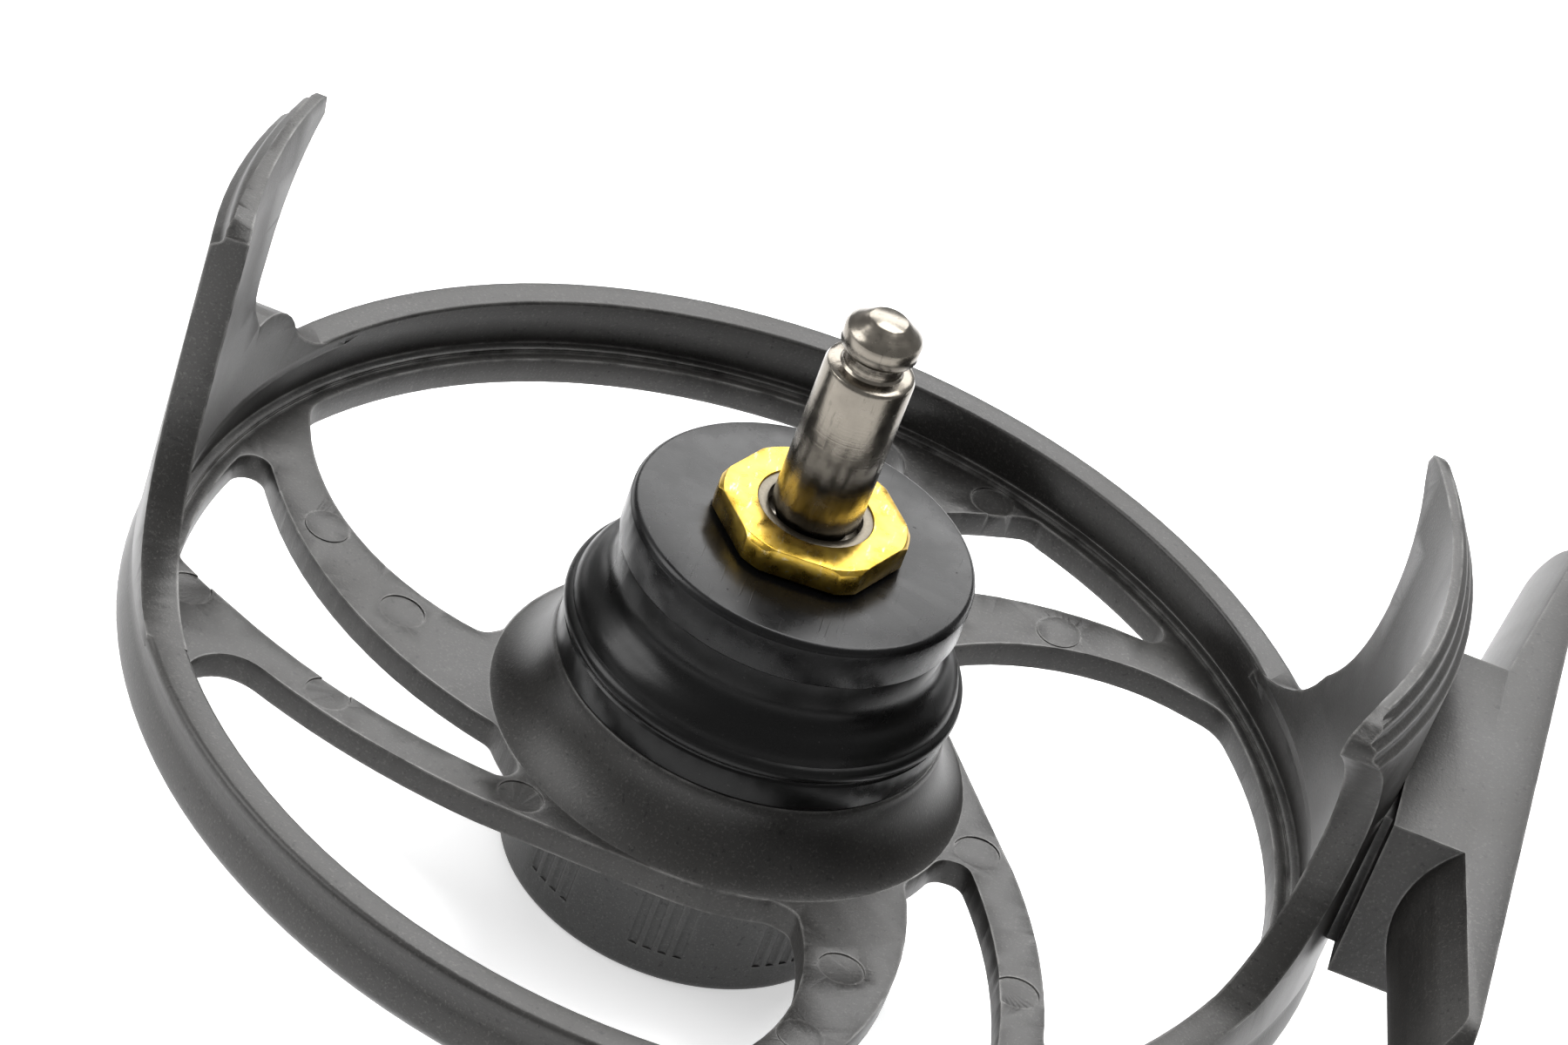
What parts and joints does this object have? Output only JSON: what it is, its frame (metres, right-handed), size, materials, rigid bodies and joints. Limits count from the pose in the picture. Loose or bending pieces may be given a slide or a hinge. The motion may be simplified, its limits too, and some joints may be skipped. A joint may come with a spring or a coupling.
{
  "type": "open-frame fly reel body with drag hub",
  "caption": "Open reel frame: spoked ring with rim guards, drag hub with hex drive, spindle that carries a spool, drag knob and mounting foot.",
  "frame": {"origin": "on the spindle's axis, at the top of the hexagonal drive where the spool seats", "axes": "+Z along the spindle towards its snap head, +X from the spindle to the foot"},
  "size_m": [0.0976, 0.088, 0.0499],
  "materials": {
    "frame_paint": "satin dark grey coat with a fine grain",
    "knob_paint": "satin dark grey coat",
    "housing_black": "satin black",
    "cap_black": "semi-gloss black",
    "brass": "bright yellow brass, worn",
    "bronze": "sintered grey bronze",
    "spindle_steel": "turned, warm nickel grey, fine scratches",
    "steel": "plain machined steel",
    "rotor_aluminium": "machined",
    "friction": "woven carbon friction lining",
    "cage_plastic": "moulded nylon",
    "seal_rubber": "black nitrile"
  },
  "bodies": {
    "frame_body": {"frame": "frame_paint", "reel_foot": "frame_paint", "foot_screw_near": "steel", "foot_screw_far": "steel", "spindle": "spindle_steel", "spindle_nut": "steel", "thrust_washer": "bronze", "drag_housing": "housing_black", "housing_screws": "steel", "drag_cap": "cap_black", "cap_oring": "seal_rubber", "shaft_seal": "seal_rubber", "reaction_ring": "steel", "knob_screw": "steel", "click_ball": "steel", "click_spring": "steel"},
    "drive": {"hex_drive": "brass", "upper_bushing": "bronze", "lower_bushing": "bronze", "drive_clip": "steel"},
    "rotor": {"drag_rotor": "rotor_aluminium", "lower_friction_disc": "friction", "upper_friction_disc": "friction", "clutch_cage": "cage_plastic", "clutch_rollers": "steel"},
    "pressure": {"pressure_plate": "steel", "push_pins": "steel", "thrust_ring": "steel", "spring_washers": "steel"},
    "knob": {"drag_knob": "knob_paint"},
    "nut": {"adjust_nut": "brass"}
  },
  "joints": [
    {"name": "drive_spin", "type": "hinge", "parent": "frame_body", "child": "drive", "pos_m": [0, 0, 0], "axis": [0, 0, 1], "continuous": true},
    {"name": "rotor_spin", "type": "hinge", "parent": "frame_body", "child": "rotor", "pos_m": [0, 0, -0.01215], "axis": [0, 0, 1], "continuous": true},
    {"name": "knob_turn", "type": "hinge", "parent": "frame_body", "child": "knob", "pos_m": [0, 0, -0.0283], "axis": [0, 0, 1], "range_deg": [0, 330]},
    {"name": "nut_travel", "type": "slide", "parent": "knob", "child": "nut", "axis": [0, 0, 1], "range_m": [0, 0.0007], "deforming": ["spring_washers"]},
    {"name": "pressure_lift", "type": "slide", "parent": "frame_body", "child": "pressure", "axis": [0, 0, 1], "range_m": [0, 0.00025]}
  ],
  "couplings": [
    {"joint": "nut_travel", "follows": "knob_turn", "m_per_rad": 0.00011937},
    {"joint": "pressure_lift", "follows": "knob_turn", "m_per_rad": 0.00004167}
  ]
}
